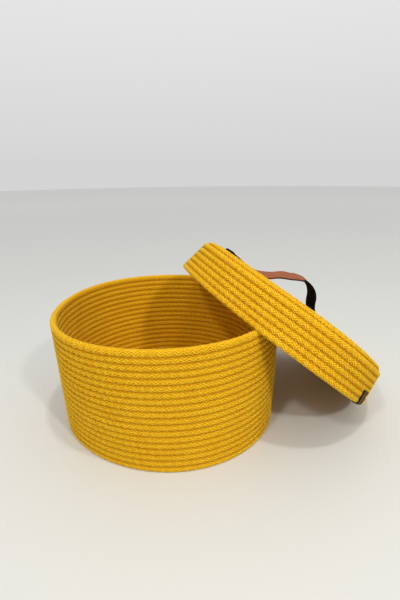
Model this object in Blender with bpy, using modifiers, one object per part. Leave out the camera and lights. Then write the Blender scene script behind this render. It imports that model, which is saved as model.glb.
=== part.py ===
"""A round knitting basket of coiled and sewn cotton rope, with its lid leaning on the rim.

The basket stands on the plane z = 0, with its axis on +Z. The lid leans towards +X: its lower edge
stands on the same plane, and its edge rope lies across the basket's rim rope at two places.
Lengths are in metres, angles in degrees.
"""
import bpy
import bmesh
import numpy as np
from math import asin, cos, degrees, floor, pi, radians, sin, tan
from mathutils import Matrix, Vector

# Rope, and the clearance that neighbouring pieces keep
ROW_PITCH = 0.00752
SEAM_GAP = 0.00050
CLEARANCE = 0.00030
ROPE_DIAMETER = ROW_PITCH - SEAM_GAP
ROPE_RADIUS = ROPE_DIAMETER / 2
ROW_RADIUS = ROW_PITCH / 2
TURN_POINTS = 24

# Basket
WALL_ROWS = 19
RIM_RADIUS = 0.1400
FOOT_RADIUS = 0.1347
WALL_RISE_START = 0
WALL_RISE_SPAN = 50
PLATE_ROUNDING = 0.0025
PLATE_SIDES = 72

# Lid
LID_EDGE_RADIUS = 0.1475
LID_SIDE_LEAN = 7
LID_CORNER_LEANS = (80, 45)
LID_SIDE_ROWS = 6
LID_LEAN = 38.2
CROSSING_PRESS = 0.00105
LID_RISE_START = 30
LID_RISE_SPAN = 60

# Carrying strap and its leather grip
STRAP_WIDTH = 0.0250
STRAP_THICKNESS = 0.0015
STRAP_OFF_CENTRE = 0.0180
LOOP_START = -0.0990
LOOP_SPAN = 0.1510
LOOP_HEIGHT = 0.0328
LOOP_POINTS = 64
TAB_LENGTH = 0.0140
GRIP_START = 0.0340
GRIP_LENGTH = 0.0820
LEATHER_THICKNESS = 0.0011
CUT_OVERRUN = 0.0020
WELD_DISTANCE = 0.00001

# Sewing thread
THREAD_DIAMETER = 0.0009
STITCH_INSET = 0.0030

# Label folded over the lid's edge
LABEL_WIDTH = 0.0140
LABEL_FLAP = 0.0140
LABEL_THICKNESS = 0.0012
LABEL_GAP = 0.0005
LABEL_AZIMUTH = -65

# The strap's loop: along it as shares of LOOP_SPAN, above the lid as shares of LOOP_HEIGHT
loop_shares = [(0.00, 0.087), (0.07, 0.060), (0.15, 0.060), (0.22, 0.095), (0.31, 0.17), (0.42, 0.46),
               (0.52, 0.71), (0.61, 0.90), (0.69, 0.99), (0.75, 1.00), (0.82, 0.90), (0.87, 0.70),
               (0.91, 0.44), (0.95, 0.20), (1.00, 0.087)]


def empty_the_scene():
    for item in list(bpy.data.objects):
        bpy.data.objects.remove(item, do_unlink=True)


def new_collection(name):
    group = bpy.data.collections.new(name)
    bpy.context.scene.collection.children.link(group)
    return group


def new_material(name, colour, roughness, metallic=0.0):
    material = bpy.data.materials.new(name)
    material.use_nodes = True
    shader = material.node_tree.nodes["Principled BSDF"]
    shader.inputs["Base Color"].default_value = (*colour, 1.0)
    shader.inputs["Roughness"].default_value = roughness
    shader.inputs["Metallic"].default_value = metallic
    return material


def put(item, group, material=None, parent=None):
    """Link an object, give it its material and its parent, and keep its place under the parent."""
    for old in list(item.users_collection):
        old.objects.unlink(item)
    group.objects.link(item)
    if material:
        item.data.materials.clear()
        item.data.materials.append(material)
    item.parent = parent
    return item


# Coiled rope

def step(lean, side):
    """From one row to the next: outwards by the lean, and up (side 1) or down (side -1)."""
    return np.array([sin(radians(lean)), side * cos(radians(lean))]) * ROW_PITCH


def ease(share):
    share = min(max(share, 0.0), 1.0)
    return share * share * (3 - 2 * share)


def turn_places(first_row, leans, side, share):
    """Radius and height of each later turn where this share of the climb to its row is done.

    Two neighbouring turns stay one row pitch apart all the way, also round a corner.
    """
    places = [first_row + share * step(leans[0], side)]
    for before, after in zip(leans, leans[1:]):
        places.append(places[-1] + step(before + (after - before) * share, side))
    return places


def coil_points(first_row, leans, side, rise_start, rise_span):
    """Centre line of a rope that is wound in rows, each turn climbing to its row in the rise."""
    points = []
    for turn in range(len(leans) + 1):
        for index in range(TURN_POINTS):
            angle = 360 * index / TURN_POINTS
            share = ease(angle / rise_span)
            if turn == 0 and angle < rise_span:
                continue
            radius, height = (turn_places(first_row, leans, side, share)[turn - 1] if turn else first_row)
            azimuth = radians(rise_start + angle)
            points.append(Vector((radius * cos(azimuth), radius * sin(azimuth), height)))
    return points


def straighten_ends(points):
    """Let both ends run straight for one rope diameter, square to their cut faces."""
    first = points[0] - (points[1] - points[0]).normalized() * ROPE_DIAMETER
    last = points[-1] + (points[-1] - points[-2]).normalized() * ROPE_DIAMETER
    return [first, *points, last]


def least_gap(points, diameter):
    """Least gap of a wound tube to itself, between points half a turn or more apart along it."""
    places = np.array(points)
    least = 1.0
    for index in range(len(places) - TURN_POINTS // 2):
        later = places[index + TURN_POINTS // 2:]
        least = min(least, np.linalg.norm(later - places[index], axis=1).min())
    return least - diameter


def tube(name, points, diameter, resolution, cyclic=False, turned=0.0):
    """A round tube along the points; turned rolls its few sides about its own axis."""
    curve = bpy.data.curves.new(name, "CURVE")
    curve.dimensions = "3D"
    curve.twist_mode = "Z_UP"
    curve.bevel_depth = diameter / 2
    curve.bevel_resolution = resolution
    curve.use_fill_caps = not cyclic
    spline = curve.splines.new("POLY")
    spline.points.add(len(points) - 1)
    for spot, place in zip(spline.points, points):
        spot.co = (*place, 1.0)
        spot.tilt = radians(turned)
    spline.use_cyclic_u = cyclic
    return bpy.data.objects.new(name, curve)


def wound_rope(name, points):
    points = straighten_ends(points)
    print(f"{name}: least gap to itself {least_gap(points, ROPE_DIAMETER) * 1000:.2f} mm")
    return tube(name, points, ROPE_DIAMETER, 1, turned=90)


def plate_radius(row_radius):
    """Radius that fits inside a wound row, whose straight stretches cut inside its circle."""
    return row_radius * cos(pi / TURN_POINTS) - ROPE_RADIUS - CLEARANCE


def plate(name, radius, bottom, thickness):
    """The coiled rope disc of a floor or a lid's top, as a plain plate with rounded edges."""
    mesh = bpy.data.meshes.new(name)
    form = bmesh.new()
    bmesh.ops.create_cone(form, cap_ends=True, segments=PLATE_SIDES, radius1=radius, radius2=radius,
                          depth=thickness, matrix=Matrix.Translation((0, 0, bottom + thickness / 2)))
    form.to_mesh(mesh)
    form.free()
    item = bpy.data.objects.new(name, mesh)
    rounding = item.modifiers.new("rounded edges", "BEVEL")
    rounding.width = min(PLATE_ROUNDING, thickness / 3)
    rounding.segments = 2
    rounding.limit_method = "ANGLE"
    return item


# Flat strips: a path in the plane of the strip's bends, drawn out to the strip's width

def smooth_path(corners, count):
    """Evenly spaced points on a Catmull-Rom curve through the corners."""
    corners = [np.array(corner, float) for corner in corners]
    padded = [2 * corners[0] - corners[1], *corners, 2 * corners[-1] - corners[-2]]
    dense = []
    for a, b, c, d in zip(padded, padded[1:], padded[2:], padded[3:]):
        for share in np.linspace(0, 1, 20, endpoint=False):
            dense.append(0.5 * (2 * b + (c - a) * share + (2 * a - 5 * b + 4 * c - d) * share ** 2
                                + (3 * b - a - 3 * c + d) * share ** 3))
    dense.append(corners[-1])
    return resample(np.array(dense), count)


def lengths_along(path):
    return np.concatenate([[0], np.cumsum(np.linalg.norm(np.diff(path, axis=0), axis=1))])


def resample(path, count):
    along = lengths_along(path)
    places = np.linspace(0, along[-1], count)
    return np.stack([np.interp(places, along, path[:, axis]) for axis in (0, 1)], -1)


def stretch(path, start, end):
    """The part of a path between two lengths along it."""
    along = lengths_along(path)
    inner = [place for place in along if start < place < end]
    places = [start, *inner, end]
    return np.stack([np.interp(places, along, path[:, axis]) for axis in (0, 1)], -1)


def arc(centre, radius, start, end, count):
    angles = np.radians(np.linspace(start, end, count))
    return [np.array([centre[0] + radius * cos(a), centre[1] + radius * sin(a)]) for a in angles]


def extended(path, length):
    first = path[0] - (path[1] - path[0]) / np.linalg.norm(path[1] - path[0]) * length
    last = path[-1] + (path[-1] - path[-2]) / np.linalg.norm(path[-1] - path[-2]) * length
    return np.array([first, *path, last])


def sides_of(path):
    """Unit vectors across the path, to its left, at each of its points."""
    along = np.gradient(path, axis=0)
    along /= np.linalg.norm(along, axis=1)[:, None]
    return np.stack([-along[:, 1], along[:, 0]], -1)


def strip(name, path, thickness, width):
    """A flat strip of even thickness whose mid line is the path, in the object's XZ plane."""
    path = np.array(path)
    across = sides_of(path) * thickness / 2
    outline = [*(path + across), *(path - across)[::-1]]
    curve = bpy.data.curves.new(name, "CURVE")
    curve.dimensions = "2D"
    curve.fill_mode = "BOTH"
    curve.extrude = width / 2
    spline = curve.splines.new("POLY")
    spline.points.add(len(outline) - 1)
    for spot, place in zip(spline.points, outline):
        spot.co = (place[0], place[1], 0.0, 1.0)
    spline.use_cyclic_u = True
    item = bpy.data.objects.new(name, curve)
    item.rotation_euler = (pi / 2, 0, 0)
    return item


def as_mesh(item):
    """A mesh object in place of a curve object, with its loose caps welded."""
    bpy.context.scene.collection.objects.link(item)
    bpy.context.view_layer.update()
    graph = bpy.context.evaluated_depsgraph_get()
    mesh = bpy.data.meshes.new_from_object(item.evaluated_get(graph))
    form = bmesh.new()
    form.from_mesh(mesh)
    bmesh.ops.remove_doubles(form, verts=form.verts, dist=WELD_DISTANCE)
    form.to_mesh(mesh)
    form.free()
    solid = bpy.data.objects.new(item.name, mesh)
    solid.matrix_world = item.matrix_world
    name = item.name
    bpy.data.objects.remove(item, do_unlink=True)
    solid.name = name
    return solid


# The basket

def wall_lean():
    return degrees(asin((RIM_RADIUS - FOOT_RADIUS) / ((WALL_ROWS - 1) * ROW_PITCH)))


def make_basket(group, rope):
    first_row = np.array([FOOT_RADIUS - ROW_RADIUS, ROW_RADIUS])
    leans = [wall_lean()] * (WALL_ROWS - 1)
    points = coil_points(first_row, leans, 1, WALL_RISE_START, WALL_RISE_SPAN)
    put(wound_rope("basket_wall", points), group, rope)
    put(plate("basket_base", plate_radius(first_row[0]), 0.0, ROPE_DIAMETER), group, rope)
    return points[-TURN_POINTS:]


# The lid, built upright in its own frame: its axis on Z, its open edge on z = 0

def lid_leans():
    return [*LID_CORNER_LEANS, *[LID_SIDE_LEAN] * (LID_SIDE_ROWS - 1)]


def lid_edge_row():
    return np.array([LID_EDGE_RADIUS - ROW_RADIUS, ROW_RADIUS])


def lid_top_row():
    """The innermost wound row, on the flat of the lid's top."""
    return lid_edge_row() - sum(step(lean, -1) for lean in lid_leans())


def lid_height():
    return lid_top_row()[1] + ROPE_RADIUS


def closed_row(points):
    """Places all along one turn of rope, closed on itself, for measuring."""
    corners = np.array([*points, points[0]])
    places = np.linspace(0, len(points), len(points) * 20, endpoint=False)
    return np.stack([np.interp(places, range(len(corners)), corners[:, axis]) for axis in (0, 1, 2)], -1)


def least_distance(places, others):
    return min(np.linalg.norm(others - place, axis=1).min() for place in places)


def lid_matrix(rim, edge):
    """Where the lid comes to rest: its lowest edge on the ground, its edge rope on the rim rope.

    It slides up to the basket until the ropes cross, where they press each other a little flat.
    """
    turn = Matrix.Rotation(radians(LID_LEAN), 4, "Y")
    rim_row = closed_row(rim)
    edge_row = closed_row([turn @ point for point in edge])
    height = ROW_RADIUS - edge_row[:, 2].min()
    seat = ROW_PITCH - CROSSING_PRESS
    far = RIM_RADIUS + LID_EDGE_RADIUS
    near = far - ROW_RADIUS
    while least_distance(edge_row + (near, 0, height), rim_row) > seat and near > 0:
        near, far = near - ROW_RADIUS, near
    while far - near > CLEARANCE / 100:
        middle = (near + far) / 2
        if least_distance(edge_row + (middle, 0, height), rim_row) < seat:
            near = middle
        else:
            far = middle
    return Matrix.Translation((far, 0, height)) @ turn


def make_lid(group, rope, rim):
    points = coil_points(lid_top_row(), lid_leans(), -1, LID_RISE_START, LID_RISE_SPAN)
    frame = put(bpy.data.objects.new("lid_frame", None), group)
    frame.matrix_world = lid_matrix(rim, points[-TURN_POINTS:])
    put(wound_rope("lid_wall", points), group, rope, frame)
    top = plate("lid_top", plate_radius(lid_top_row()[0]), lid_height() - ROPE_DIAMETER, ROPE_DIAMETER)
    put(top, group, rope, frame)
    return frame


# The strap and its grip, in a frame on the lid's top: X down the slope, Z square to the lid

def loop_path():
    corners = [(LOOP_START + along * LOOP_SPAN, up * LOOP_HEIGHT) for along, up in loop_shares]
    return smooth_path(corners, LOOP_POINTS)


def tab_path(inner, side):
    """The strap's end, folded under itself: from its inner end out, round, and back beneath."""
    lower = CLEARANCE + STRAP_THICKNESS / 2
    fold = (STRAP_THICKNESS + CLEARANCE) / 2
    turn_at = inner + side * (TAB_LENGTH - fold - STRAP_THICKNESS / 2)
    bend = arc((turn_at, lower + fold), fold, 90, 90 - side * 180, 9)
    return [np.array([inner, lower + 2 * fold]), *bend, np.array([inner, lower])]


def make_tab(name, group, material, thread, frame, inner, side):
    folded = strip(f"strap_tab_{name}", tab_path(inner, side), STRAP_THICKNESS, STRAP_WIDTH)
    put(folded, group, material, frame)
    height = 2 * (STRAP_THICKNESS + CLEARANCE) + CLEARANCE + THREAD_DIAMETER / 2
    middle = inner + side * TAB_LENGTH / 2
    half_length = TAB_LENGTH / 2 - STITCH_INSET
    half_width = STRAP_WIDTH / 2 - STITCH_INSET
    corners = [(-1, -1), (1, -1), (1, 1), (-1, 1)]
    points = [(middle + along * half_length, across * half_width, height) for along, across in corners]
    put(tube(f"tab_stitching_{name}", points, THREAD_DIAMETER, 2, cyclic=True), group, thread, frame)


def make_grip(group, leather, thread, webbing, cutters, path, frame):
    """A leather sleeve round the strap, which runs through it, and the seam along its underside."""
    end = GRIP_START + GRIP_LENGTH
    line = stretch(path, GRIP_START, end)
    bore = STRAP_THICKNESS + 2 * CLEARANCE
    sleeve = as_mesh(strip("grip", line, bore + 2 * LEATHER_THICKNESS,
                           STRAP_WIDTH + 2 * CLEARANCE + 2 * LEATHER_THICKNESS))
    cutter = as_mesh(strip("grip_bore", extended(line, CUT_OVERRUN), bore, STRAP_WIDTH + 2 * CLEARANCE))
    cutter.hide_render = True
    cutter.display_type = "WIRE"
    put(cutter, cutters, None, frame)
    put(sleeve, group, leather, frame)
    cut = sleeve.modifiers.new("bore", "BOOLEAN")
    cut.operation = "DIFFERENCE"
    cut.solver = "EXACT"
    cut.object = cutter
    put(strip("strap_middle", line, STRAP_THICKNESS, STRAP_WIDTH), group, webbing, frame)
    below = bore / 2 + LEATHER_THICKNESS + CLEARANCE + THREAD_DIAMETER / 2
    seam = stretch(path, GRIP_START + STITCH_INSET, end - STITCH_INSET)[::3]
    seam = seam - sides_of(seam) * below
    points = [(along, 0.0, up) for along, up in seam]
    put(tube("grip_stitching", points, THREAD_DIAMETER, 2), group, thread, frame)


def make_strap(group, webbing, leather, thread, cutters, frame):
    path = loop_path()
    end = lengths_along(path)[-1]
    grip_end = GRIP_START + GRIP_LENGTH
    make_tab("upper", group, webbing, thread, frame, LOOP_START, -1)
    make_tab("lower", group, webbing, thread, frame, LOOP_START + LOOP_SPAN, 1)
    upper = stretch(path, CLEARANCE, GRIP_START - CLEARANCE)
    put(strip("strap_upper", upper, STRAP_THICKNESS, STRAP_WIDTH), group, webbing, frame)
    make_grip(group, leather, thread, webbing, cutters, path, frame)
    lower = stretch(path, grip_end + CLEARANCE, end - CLEARANCE)
    put(strip("strap_lower", lower, STRAP_THICKNESS, STRAP_WIDTH), group, webbing, frame)
    print(f"strap between its sewn ends {end * 1000:.1f} mm")
    return path


# The label

def label_place():
    """Azimuth of the straight stretch of edge rope under the label, and how far along it it sits."""
    stretch_angle = 360 / TURN_POINTS
    stretches = floor((LABEL_AZIMUTH - LID_RISE_START) / stretch_angle) + 0.5
    azimuth = LID_RISE_START + stretches * stretch_angle
    return radians(azimuth), lid_edge_row()[0] * tan(radians(LABEL_AZIMUTH - azimuth))


def make_label(group, woven, frame):
    """A strip folded over the edge rope, with a flap outside and one inside the lid."""
    centre = lid_edge_row() * (cos(pi / TURN_POINTS), 1)
    lean = LID_SIDE_LEAN
    radius = ROW_RADIUS + LABEL_GAP + LABEL_THICKNESS / 2
    bend = arc(centre, radius, lean, lean - 180, 13)
    up = np.array([-sin(radians(lean)), cos(radians(lean))]) * LABEL_FLAP
    item = strip("label", [bend[0] + up, *bend, bend[-1] + up], LABEL_THICKNESS, LABEL_WIDTH)
    azimuth, slide = label_place()
    item.rotation_euler = (pi / 2, 0, azimuth)
    item.location = (-sin(azimuth) * slide, cos(azimuth) * slide, 0)
    put(item, group, woven, frame)


def report_joint(path, frame):
    """Print where the grip hinges on the strap, in world coordinates, for the joint."""
    spot = stretch(path, GRIP_START, GRIP_START + GRIP_LENGTH)[-1]
    bpy.context.view_layer.update()
    place = frame.matrix_world @ Vector((spot[0], 0.0, spot[1]))
    print("grip hinge at", [round(value, 5) for value in place])


def main():
    empty_the_scene()
    group = new_collection("knitting_basket")
    cutters = new_collection("cutters")
    rope = new_material("yellow cotton rope", (0.80, 0.42, 0.02), 0.90)
    webbing = new_material("black webbing", (0.010, 0.010, 0.011), 0.80)
    leather = new_material("brown leather", (0.30, 0.11, 0.05), 0.55)
    thread = new_material("dark thread", (0.020, 0.018, 0.016), 0.75)
    woven = new_material("dark woven label", (0.040, 0.028, 0.018), 0.80)

    rim = make_basket(group, rope)
    lid_frame = make_lid(group, rope, rim)
    make_label(group, woven, lid_frame)

    strap_frame = put(bpy.data.objects.new("strap_frame", None), group, None, lid_frame)
    strap_frame.location = (0.0, STRAP_OFF_CENTRE, lid_height())
    path = make_strap(group, webbing, leather, thread, cutters, strap_frame)
    report_joint(path, strap_frame)


main()
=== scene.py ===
# %% [markdown]
# A knitting basket of coiled cotton rope
#
# The real basket is one long braided rope, wound round and round and sewn to itself, row on row. Its
# lid is a second rope, and it leans on the rim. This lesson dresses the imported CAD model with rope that
# shows its braid, sewn seams, woven webbing, leather and a folded label.
# Everything is in metres, in the CAD's own frame: the basket's axis is Z, and the lid leans on its +X side.

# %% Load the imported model
from math import cos, degrees, pi, radians, sin

import bmesh
import bpy
import numpy as np
from mathutils import Matrix, Vector


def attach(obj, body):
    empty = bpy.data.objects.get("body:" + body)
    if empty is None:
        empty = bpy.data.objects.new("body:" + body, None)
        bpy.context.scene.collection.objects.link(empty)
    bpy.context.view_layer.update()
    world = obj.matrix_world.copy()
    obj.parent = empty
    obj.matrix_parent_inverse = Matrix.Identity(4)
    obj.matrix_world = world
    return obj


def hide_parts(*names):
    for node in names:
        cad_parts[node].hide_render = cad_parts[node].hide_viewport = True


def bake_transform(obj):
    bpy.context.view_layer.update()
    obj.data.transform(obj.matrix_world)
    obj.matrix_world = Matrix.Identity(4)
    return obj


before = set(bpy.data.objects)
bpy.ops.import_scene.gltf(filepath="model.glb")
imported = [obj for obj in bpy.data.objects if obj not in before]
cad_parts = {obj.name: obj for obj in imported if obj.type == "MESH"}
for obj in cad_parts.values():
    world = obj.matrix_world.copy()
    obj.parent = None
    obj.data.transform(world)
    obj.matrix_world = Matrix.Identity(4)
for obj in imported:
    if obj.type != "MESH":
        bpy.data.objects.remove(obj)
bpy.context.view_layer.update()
MM = 0.001
print("nodes:", sorted(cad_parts))

# %% [markdown]
# The camera
#
# The photo was taken from about half a metre away, a little above the basket. The camera's place was
# solved from the outline of the rim, of the foot and of the lid. It could be turned by eye until the
# picture fits, but solving for it also gives the lens. A camera looks along its own -Z, so its
# matrix has the picture's right, up and backward directions as its columns.

# %% Place the camera
PICTURE_HEIGHT = 600
SENSOR_HEIGHT = 36.0
FOCAL_PIXELS = 398.264
camera_place = Vector((-74.244, -471.026, 305.963)) * MM
camera_right = Vector((0.96976, -0.24380, -0.01148))
camera_up = Vector((0.08830, 0.30662, 0.94773))
camera_forward = Vector((0.22753, 0.92008, -0.31887))

camera = bpy.data.objects.new("camera", bpy.data.cameras.new("camera"))
camera.data.sensor_fit = "VERTICAL"
camera.data.sensor_height = SENSOR_HEIGHT
camera.data.lens = FOCAL_PIXELS * SENSOR_HEIGHT / PICTURE_HEIGHT
camera.data.clip_start = 0.02
turn = Matrix((camera_right, camera_up, -camera_forward)).transposed().to_4x4()
camera.matrix_world = Matrix.Translation(camera_place) @ turn
bpy.context.scene.collection.objects.link(camera)
bpy.context.scene.camera = camera
print("lens", round(camera.data.lens, 2), "mm")

# %% [markdown]
# Floor and light
#
# A plain pale floor and three lamps, placed where the edges of the shadows in the photo point. One hangs
# overhead, so the lid's shadow lies under it. One is in front, to the right, and throws the lid's shadow
# on the wall and into the basket. One stands on the left. One big lamp would be simpler, but its shadows
# would have no edges. A pale room fills the shadows, and most of that light comes from its ceiling. The
# camera sees a smooth pale wall instead: a world can look one way and give light in another.

# %% A pale floor
FLOOR_RADIUS = 6.0
PALER_FROM, PALER_TO = 0.8, 3.2


def shader_of(material):
    return material.node_tree.nodes["Principled BSDF"]


def new_material(name, colour, roughness):
    material = bpy.data.materials.new(name)
    material.use_nodes = True
    shader_of(material).inputs["Base Color"].default_value = (*colour, 1)
    shader_of(material).inputs["Roughness"].default_value = roughness
    return material


def mesh_object(name, form, material):
    """Turns a finished bmesh into a linked object."""
    mesh = bpy.data.meshes.new(name)
    form.to_mesh(mesh)
    form.free()
    mesh.materials.append(material)
    item = bpy.data.objects.new(name, mesh)
    bpy.context.scene.collection.objects.link(item)
    return item


def mixed_colour(tree, mask, light, dark):
    """The first colour where the mask is 0 and the second where it is 1."""
    node = tree.nodes.new("ShaderNodeMix")
    node.data_type = "RGBA"
    node.inputs["A"].default_value = (*light, 1)
    node.inputs["B"].default_value = (*dark, 1)
    tree.links.new(mask, node.inputs["Factor"])
    return node.outputs["Result"]


def table_paint(near, far):
    """Matt paint that is paler far away: painted light, which makes up for the lamps' light falling off
    there.
    """
    material = new_material("pale table top", near, 0.50)
    tree = material.node_tree
    distance = tree.nodes.new("ShaderNodeVectorMath")
    distance.operation = "LENGTH"
    tree.links.new(tree.nodes.new("ShaderNodeTexCoord").outputs["Object"], distance.inputs[0])
    share = tree.nodes.new("ShaderNodeMapRange")
    share.inputs["From Min"].default_value = PALER_FROM
    share.inputs["From Max"].default_value = PALER_TO
    tree.links.new(distance.outputs["Value"], share.inputs["Value"])
    paint = mixed_colour(tree, share.outputs["Result"], near, far)
    tree.links.new(paint, shader_of(material).inputs["Base Color"])
    return material


floor_paint = table_paint((0.70, 0.71, 0.685), (0.88, 0.88, 0.87))
form = bmesh.new()
bmesh.ops.create_circle(form, cap_ends=True, segments=96, radius=FLOOR_RADIUS)
floor = mesh_object("floor", form, floor_paint)
print("floor", 2 * FLOOR_RADIUS, "m across")

# %% Soft studio light
LAMP_AIM = (0.05, 0, 0.05)


def soft_lamp(name, place, size, watts, colour):
    lamp = bpy.data.objects.new(name, bpy.data.lights.new(name, "AREA"))
    lamp.data.size = size
    lamp.data.energy = watts
    lamp.data.color = colour
    lamp.location = place
    lamp.rotation_euler = (Vector(LAMP_AIM) - Vector(place)).to_track_quat("-Z", "Y").to_euler()
    bpy.context.scene.collection.objects.link(lamp)
    return lamp


lamps = [soft_lamp("front lamp", (0.63, -1.73, 1.54), 0.15, 13.9, (1.0, 0.97, 0.91)),
         soft_lamp("ceiling lamp", (0.24, -0.56, 2.32), 0.12, 10.8, (1.0, 0.98, 0.93)),
         soft_lamp("left lamp", (-0.97, -1.11, 1.89), 0.20, 10.0, (1.0, 0.98, 0.94))]
print("lamps in watts:", {lamp.name: round(lamp.data.energy, 1) for lamp in lamps})

# %% A pale room all round
def height_ramp(tree, height, levels):
    """Greys that go by a height from 0 to 1: pairs of a height and a grey."""
    ramp = tree.nodes.new("ShaderNodeValToRGB")
    stops = ramp.color_ramp.elements
    while len(stops) < len(levels):
        stops.new(0.5)
    for stop, (place, grey) in zip(stops, levels):
        stop.position = place
        stop.color = (grey, grey, grey, 1)
    tree.links.new(height, ramp.inputs["Fac"])
    return ramp.outputs["Color"]


def pale_room(giving, seen):
    """A world whose brightness goes by how high one looks, for the light it gives and for the camera."""
    world = bpy.data.worlds.new("studio")
    world.use_nodes = True
    tree = world.node_tree
    split = tree.nodes.new("ShaderNodeSeparateXYZ")
    tree.links.new(tree.nodes.new("ShaderNodeTexCoord").outputs["Generated"], split.inputs["Vector"])
    camera_ray = tree.nodes.new("ShaderNodeLightPath").outputs["Is Camera Ray"]
    both = mixed_colour(tree, camera_ray, (1, 1, 1), (1, 1, 1))
    tree.links.new(height_ramp(tree, split.outputs["Z"], giving), both.node.inputs["A"])
    tree.links.new(height_ramp(tree, split.outputs["Z"], seen), both.node.inputs["B"])
    tree.links.new(both, tree.nodes["Background"].inputs["Color"])
    return world


PALE_WALL, DIM_WALL, CEILING = 0.60, 0.05, 0.76
room_light = [(0.0, PALE_WALL), (0.31, PALE_WALL), (0.36, DIM_WALL), (0.60, CEILING)]
wall_seen = [(0.0, 0.66), (0.31, 0.785)]
bpy.context.scene.world = pale_room(room_light, wall_seen)
bpy.context.scene.view_settings.view_transform = "Standard"
print("room light by height:", room_light, "and what is seen:", wall_seen)

# %% [markdown]
# The cotton finish
#
# The rope is soft matt cotton, dyed mustard. A picture of rope could be wrapped round it, but it would
# repeat. A formula doesn't, and it follows the strands wherever the rope goes. Every piece of rope
# carries a UV map whose X is millimetres along the rope and whose Y counts strands round it. The shader
# group reads it and puts out a colour mask and a normal. Fine yarns run along the strands, so they are
# stripes of Y. The colour is painted darker along each strand's flanks and at the bends where it dives
# under the next: that is painted shade, where the strands shade each other. The light colour left on the
# crowns is partly a painted highlight. How strongly the painted shade shows wanders from place to place,
# as it does where cotton is fuzzy, and patches and specks of darker tone are laid over it.

# %% A shader group for yarns and fuzz
BRAID_LENGTH = 8.3
STRANDS = 8
YARNS_PER_STRAND = 4
DIVE_SHARPNESS = 12.0
FUZZ_SCALE, CLEAR_SCALE, PATCH_SCALE, SPECK_SCALE = 2600.0, 70.0, 60.0, 620.0


def new_group(name, inputs, outputs):
    """A shader node group with named float inputs and typed outputs."""
    group = bpy.data.node_groups.new(name, "ShaderNodeTree")
    for label, value in inputs.items():
        socket = group.interface.new_socket(label, in_out="INPUT", socket_type="NodeSocketFloat")
        socket.default_value = value
    for label, kind in outputs.items():
        group.interface.new_socket(label, in_out="OUTPUT", socket_type=kind)
    return group, group.nodes.new("NodeGroupInput"), group.nodes.new("NodeGroupOutput")


def feed(tree, value, socket):
    """Gives a socket a plain number, or a link from another socket."""
    if isinstance(value, (int, float)):
        socket.default_value = value
    else:
        tree.links.new(value, socket)


def math_node(tree, operation, *values):
    """A Math node whose inputs are sockets or plain numbers; returns its output."""
    node = tree.nodes.new("ShaderNodeMath")
    node.operation = operation
    for socket, value in zip(node.inputs, values):
        feed(tree, value, socket)
    return node.outputs[0]


def noise_node(tree, vector, scale, detail):
    node = tree.nodes.new("ShaderNodeTexNoise")
    node.inputs["Scale"].default_value = scale
    node.inputs["Detail"].default_value = detail
    node.inputs["Roughness"].default_value = 0.6
    tree.links.new(vector, node.inputs["Vector"])
    return node.outputs["Fac"]


def bump_node(tree, height, depth):
    """The normal of a bumpy face. Its depth in metres is a socket or a plain number."""
    node = tree.nodes.new("ShaderNodeBump")
    feed(tree, depth, node.inputs["Distance"])
    tree.links.new(height, node.inputs["Height"])
    return node.outputs["Normal"]


def make_yarn_group():
    """Yarns is how many lie across a strand, and Depth is in metres.

    Shade is 1 where the colour is darkest: painted shade on a strand's flanks and at its bends, with patches
    and specks of darker tone.
    """
    group, source, sink = new_group("cotton yarns", {"Yarns": 4.0, "Depth": 0.00012},
                                    {"Shade": "NodeSocketFloat", "Normal": "NodeSocketVector"})
    uv = group.nodes.new("ShaderNodeUVMap")
    split = group.nodes.new("ShaderNodeSeparateXYZ")
    group.links.new(uv.outputs["UV"], split.inputs["Vector"])
    along, around = split.outputs["X"], split.outputs["Y"]
    place = group.nodes.new("ShaderNodeTexCoord").outputs["Object"]
    turns = math_node(group, "MULTIPLY", math_node(group, "MULTIPLY", around, source.outputs["Yarns"]), pi)
    yarn = math_node(group, "ABSOLUTE", math_node(group, "SINE", turns))
    bend = math_node(group, "COSINE", math_node(group, "MULTIPLY", along, 2 * pi / BRAID_LENGTH))
    dive = math_node(group, "POWER", math_node(group, "ABSOLUTE", bend), DIVE_SHARPNESS)
    # Painted shade: the colour darkens on each strand's flanks, away from its crown.
    crown = math_node(group, "SINE", math_node(group, "MULTIPLY", around, pi))
    flank_shade = math_node(group, "SUBTRACT", 1.0, math_node(group, "MULTIPLY", crown, crown))
    fuzz = noise_node(group, place, FUZZ_SCALE, 2.0)
    height = math_node(group, "MULTIPLY_ADD", fuzz, 0.8, yarn)
    height = math_node(group, "MULTIPLY_ADD", dive, -0.5, height)
    # How strongly the painted shade on the flanks shows, wandering from place to place.
    clear = math_node(group, "MULTIPLY_ADD", noise_node(group, place, CLEAR_SCALE, 2.0), 2.5, -0.4)
    shade = math_node(group, "MULTIPLY", math_node(group, "SUBTRACT", flank_shade, 0.5), clear)
    patches = noise_node(group, place, PATCH_SCALE, 4.0)
    specks = noise_node(group, place, SPECK_SCALE, 2.0)
    # Painted shade at the bends where a strand dives, a painted highlight on each yarn, and random patches
    # and specks of tone.
    for pattern, darkening in ((dive, 0.12), (yarn, -0.12), (patches, 0.3), (specks, 1.3)):
        shade = math_node(group, "MULTIPLY_ADD", pattern, darkening, shade)
    shade = math_node(group, "SUBTRACT", shade, 0.20)
    clamp = group.nodes.new("ShaderNodeClamp")
    group.links.new(shade, clamp.inputs["Value"])
    group.links.new(clamp.outputs["Result"], sink.inputs["Shade"])
    group.links.new(bump_node(group, height, source.outputs["Depth"]), sink.inputs["Normal"])
    return group


yarn_group = make_yarn_group()
print("shader group:", yarn_group.name, "with", len(yarn_group.nodes), "nodes")


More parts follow.
